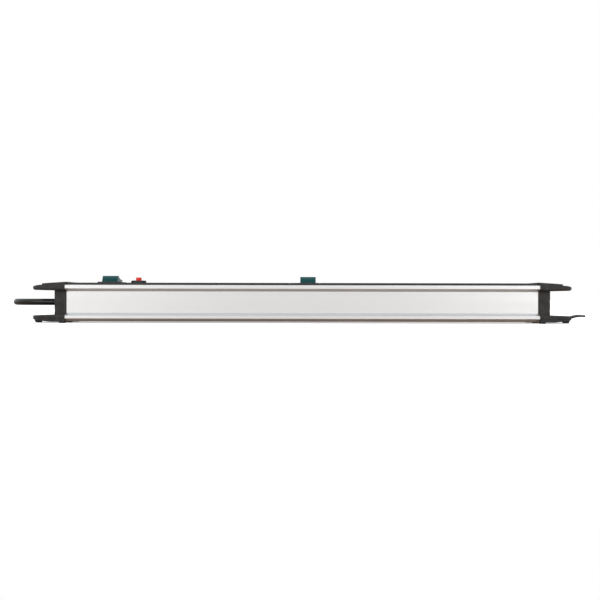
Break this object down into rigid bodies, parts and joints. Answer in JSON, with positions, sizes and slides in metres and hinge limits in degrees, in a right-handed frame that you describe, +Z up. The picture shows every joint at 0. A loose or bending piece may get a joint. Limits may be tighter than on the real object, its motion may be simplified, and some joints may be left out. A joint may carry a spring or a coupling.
{
  "type": "power strip",
  "caption": "Long power strip in a recessed aluminium profile with winged end caps, earthed sockets, two rocker switches, a reset button and a cord with its plug.",
  "frame": {"origin": "centre of the strip's footprint, without the cord, on the plane of its feet", "axes": "+X along the strip, away from the cord's outlet; +Y to the back; +Z up, out of the sockets"},
  "size_m": [0.7646, 0.2394, 0.0606],
  "materials": {
    "anodised_aluminium": "satin anodised, with fine lines along its length",
    "cap_plastic": "finely textured",
    "cover_plastic": "satin",
    "base_plastic": "plain",
    "foot_rubber": "matt",
    "cord_sheath": "smooth, satin",
    "plug_plastic": "satin",
    "pin_metal": "nickel plated",
    "screw_steel": "zinc plated",
    "brass": "plain",
    "switch_plastic": "glossy",
    "teal_plastic": "translucent, glossy",
    "lamp_glass": "clear",
    "red_plastic": "glossy",
    "brown_insulation": "plain",
    "blue_insulation": "plain",
    "green_yellow_insulation": "plain"
  },
  "bodies": {
    "strip": {"aluminium_profile": "anodised_aluminium", "base_screws": "screw_steel", "blank_cover": "cover_plastic", "blind_plug": "cap_plastic", "breaker_body": "switch_plastic", "breaker_collar": "switch_plastic", "breaker_terminals": "brass", "clamp_screws": "screw_steel", "cord_clamp": "base_plastic", "cord_coil": "cord_sheath", "cord_grommet": "foot_rubber", "cord_inner_end": "cord_sheath", "cord_tail": "cord_sheath", "cord_tube": "cord_sheath", "earth_clips": "brass", "earth_rail_a": "brass", "earth_rail_b": "brass", "earth_wires": "green_yellow_insulation", "end_cap_screws": "screw_steel", "end_cover": "cover_plastic", "feet": "foot_rubber", "hanging_eye": "cap_plastic", "left_end_cap": "cap_plastic", "left_switch_cover": "cover_plastic", "live_rail_a": "brass", "live_rail_b": "brass", "live_wires": "brown_insulation", "middle_switch_cover": "cover_plastic", "neutral_rail_a": "brass", "neutral_rail_b": "brass", "neutral_wires": "blue_insulation", "plug_body": "plug_plastic", "plug_boot": "cord_sheath", "plug_earth_contacts": "pin_metal", "plug_pins": "pin_metal", "reset_spring": "screw_steel", "right_end_cap": "cap_plastic", "socket_base_1": "base_plastic", "socket_base_2": "base_plastic", "socket_base_3": "base_plastic", "socket_base_4": "base_plastic", "socket_base_5": "base_plastic", "socket_block_1": "cover_plastic", "socket_block_2": "cover_plastic", "socket_block_3": "cover_plastic", "socket_block_4": "cover_plastic", "socket_block_5": "cover_plastic", "switch_frame_1": "switch_plastic", "switch_frame_2": "switch_plastic", "switch_terminals_1": "brass", "switch_terminals_2": "brass"},
    "rocker_1": {"rocker_1": "teal_plastic", "lamp_1": "lamp_glass"},
    "rocker_2": {"rocker_2": "teal_plastic", "lamp_2": "lamp_glass"},
    "contact_arms_1": {"contact_arms_1": "brass"},
    "contact_arms_2": {"contact_arms_2": "brass"},
    "reset_button": {"reset_button": "red_plastic"}
  },
  "joints": [
    {"name": "rocker_1_tilt", "type": "hinge", "parent": "strip", "child": "rocker_1", "pos_m": [-0.2587, 0, 0.0503], "axis": [1, 0, 0], "range_deg": [0, 26]},
    {"name": "contact_arms_1_tilt", "type": "hinge", "parent": "strip", "child": "contact_arms_1", "pos_m": [-0.2587, 0, 0.0371], "axis": [1, 0, 0], "range_deg": [-16, 0]},
    {"name": "rocker_2_tilt", "type": "hinge", "parent": "strip", "child": "rocker_2", "pos_m": [-0.0027, 0, 0.0493], "axis": [1, 0, 0], "range_deg": [0, 26]},
    {"name": "contact_arms_2_tilt", "type": "hinge", "parent": "strip", "child": "contact_arms_2", "pos_m": [-0.0027, 0, 0.0361], "axis": [1, 0, 0], "range_deg": [-16, 0]},
    {"name": "reset_press", "type": "slide", "parent": "strip", "child": "reset_button", "axis": [0, 0, 1], "range_m": [-0.0028, 0], "stiffness_N_per_m": 400, "springref_m": 0.002, "deforming": ["reset_spring"]}
  ],
  "couplings": [
    {"joint": "contact_arms_1_tilt", "follows": "rocker_1_tilt", "ratio": -0.615},
    {"joint": "contact_arms_2_tilt", "follows": "rocker_2_tilt", "ratio": -0.615}
  ]
}
